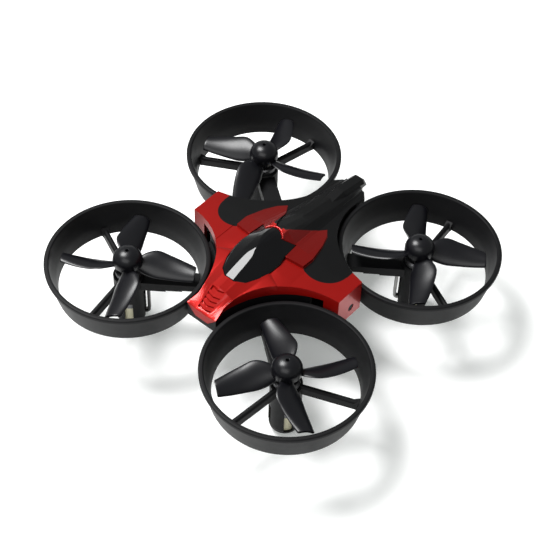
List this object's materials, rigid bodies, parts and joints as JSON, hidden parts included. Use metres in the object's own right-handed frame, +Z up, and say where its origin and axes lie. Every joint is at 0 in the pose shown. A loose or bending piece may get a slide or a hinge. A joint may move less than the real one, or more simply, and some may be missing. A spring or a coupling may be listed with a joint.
{
  "type": "palm quadcopter drone",
  "caption": "Palm-sized quadcopter: ducted propellers at the corners, motor pods that it stands on, and a faceted canopy with a nose, shoulders and a tail fin.",
  "frame": {"origin": "under the centre of the aircraft, on the surface that the four motor pods stand on", "axes": "-Y towards the nose, +X towards the left side, +Z up along the motor shafts"},
  "size_m": [0.085, 0.085, 0.0279],
  "materials": {
    "frame_black": "moulded, fine satin grain",
    "propeller_black": "satin",
    "canopy_red": "glossy paint, with satin black areas at the tail and behind the shoulders",
    "cockpit_black": "high gloss",
    "motor_steel": "drawn can",
    "shaft_steel": "ground",
    "magnet_nickel": "nickel plated",
    "end_bell_cream": "moulded",
    "winding_copper": "enamelled",
    "lead_black": "insulation; the second wire is white",
    "lead_red": "insulation; the second wire is blue at a motor and black at the socket",
    "board_green": "solder mask",
    "chip_black": "matt",
    "crystal_metal": "plated can",
    "capacitor_ceramic": "matt",
    "lamp_clear": "diffusing",
    "socket_white": "moulded",
    "contact_brass": "tinned",
    "screw_steel": "zinc plated",
    "battery_foil": "pouch foil",
    "battery_tape": "amber tape"
  },
  "bodies": {
    "airframe": {"centre_tray": "frame_black", "battery_bay": "frame_black", "flight_board": "board_green", "board_screws": "screw_steel", "flight_controller_chip": "chip_black", "radio_chip": "chip_black", "motion_sensor": "chip_black", "radio_crystal": "crystal_metal", "motor_transistors": "chip_black", "board_capacitors": "capacitor_ceramic", "status_lamps": "lamp_clear", "battery_socket": "socket_white", "socket_pins": "contact_brass", "socket_leads": "lead_red", "canopy": "canopy_red", "vent_slats": "canopy_red", "cockpit_cover": "cockpit_black", "duct_ring_front_left": "frame_black", "motor_mount_front_left": "frame_black", "motor_can_front_left": "motor_steel", "motor_magnet_front_left": "magnet_nickel", "motor_end_bell_front_left": "end_bell_cream", "motor_leads_front_left": "lead_red", "duct_ring_front_right": "frame_black", "motor_mount_front_right": "frame_black", "motor_can_front_right": "motor_steel", "motor_magnet_front_right": "magnet_nickel", "motor_end_bell_front_right": "end_bell_cream", "motor_leads_front_right": "lead_black", "duct_ring_rear_left": "frame_black", "motor_mount_rear_left": "frame_black", "motor_can_rear_left": "motor_steel", "motor_magnet_rear_left": "magnet_nickel", "motor_end_bell_rear_left": "end_bell_cream", "motor_leads_rear_left": "lead_black", "duct_ring_rear_right": "frame_black", "motor_mount_rear_right": "frame_black", "motor_can_rear_right": "motor_steel", "motor_magnet_rear_right": "magnet_nickel", "motor_end_bell_rear_right": "end_bell_cream", "motor_leads_rear_right": "lead_red"},
    "rotor_front_left": {"propeller_front_left": "propeller_black", "motor_shaft_front_left": "shaft_steel", "motor_winding_front_left": "winding_copper"},
    "rotor_front_right": {"propeller_front_right": "propeller_black", "motor_shaft_front_right": "shaft_steel", "motor_winding_front_right": "winding_copper"},
    "rotor_rear_left": {"propeller_rear_left": "propeller_black", "motor_shaft_rear_left": "shaft_steel", "motor_winding_rear_left": "winding_copper"},
    "rotor_rear_right": {"propeller_rear_right": "propeller_black", "motor_shaft_rear_right": "shaft_steel", "motor_winding_rear_right": "winding_copper"},
    "battery": {"battery_cell": "battery_foil", "battery_protection_board": "battery_tape"}
  },
  "joints": [
    {"name": "spin_front_left", "type": "hinge", "parent": "airframe", "child": "rotor_front_left", "pos_m": [0.0236, -0.0236, 0.0202], "axis": [0, 0, 1], "continuous": true},
    {"name": "spin_front_right", "type": "hinge", "parent": "airframe", "child": "rotor_front_right", "pos_m": [-0.0236, -0.0236, 0.0202], "axis": [0, 0, 1], "continuous": true},
    {"name": "spin_rear_left", "type": "hinge", "parent": "airframe", "child": "rotor_rear_left", "pos_m": [0.0236, 0.0236, 0.0202], "axis": [0, 0, 1], "continuous": true},
    {"name": "spin_rear_right", "type": "hinge", "parent": "airframe", "child": "rotor_rear_right", "pos_m": [-0.0236, 0.0236, 0.0202], "axis": [0, 0, 1], "continuous": true},
    {"name": "battery_slide", "type": "slide", "parent": "airframe", "child": "battery", "axis": [0, 1, 0], "range_m": [0, 0.04]}
  ]
}
